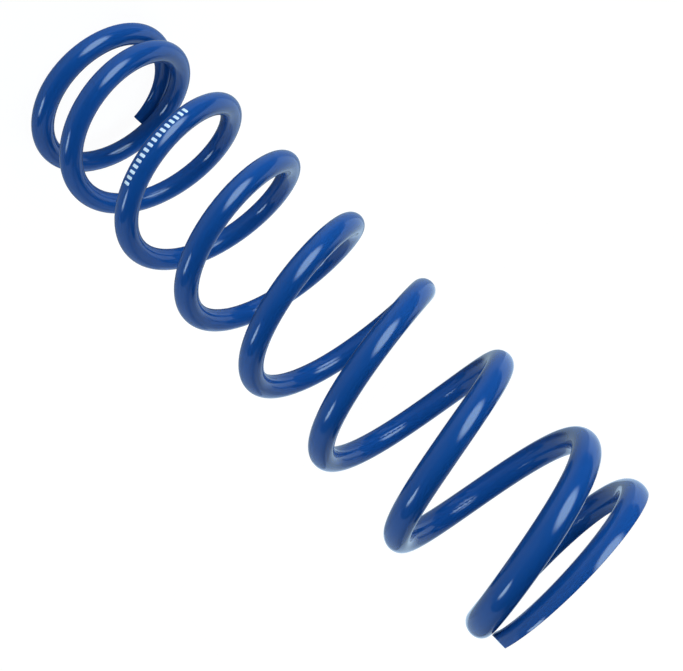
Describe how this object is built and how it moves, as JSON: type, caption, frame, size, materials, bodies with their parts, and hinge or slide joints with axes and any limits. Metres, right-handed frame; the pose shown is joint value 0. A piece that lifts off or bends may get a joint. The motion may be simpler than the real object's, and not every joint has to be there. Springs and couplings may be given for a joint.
{
  "type": "coilover spring",
  "caption": "Straight open-coil compression spring of round wire with closed, ground ends, blue powder coated, made to slide over a coilover damper.",
  "frame": {"origin": "centre of the lower ground face, on the coil's axis", "axes": "+Z along the coil's axis towards the other ground end; seen from above, the lower tip of the wire lies 97 degrees anticlockwise from +X"},
  "size_m": [0.1062, 0.1062, 0.3556],
  "materials": {
    "powder_coat": "glossy deep blue powder coat over spring steel wire, on the ground end faces too"
  },
  "bodies": {
    "root": {"coil_spring": "powder_coat"}
  },
  "joints": []
}
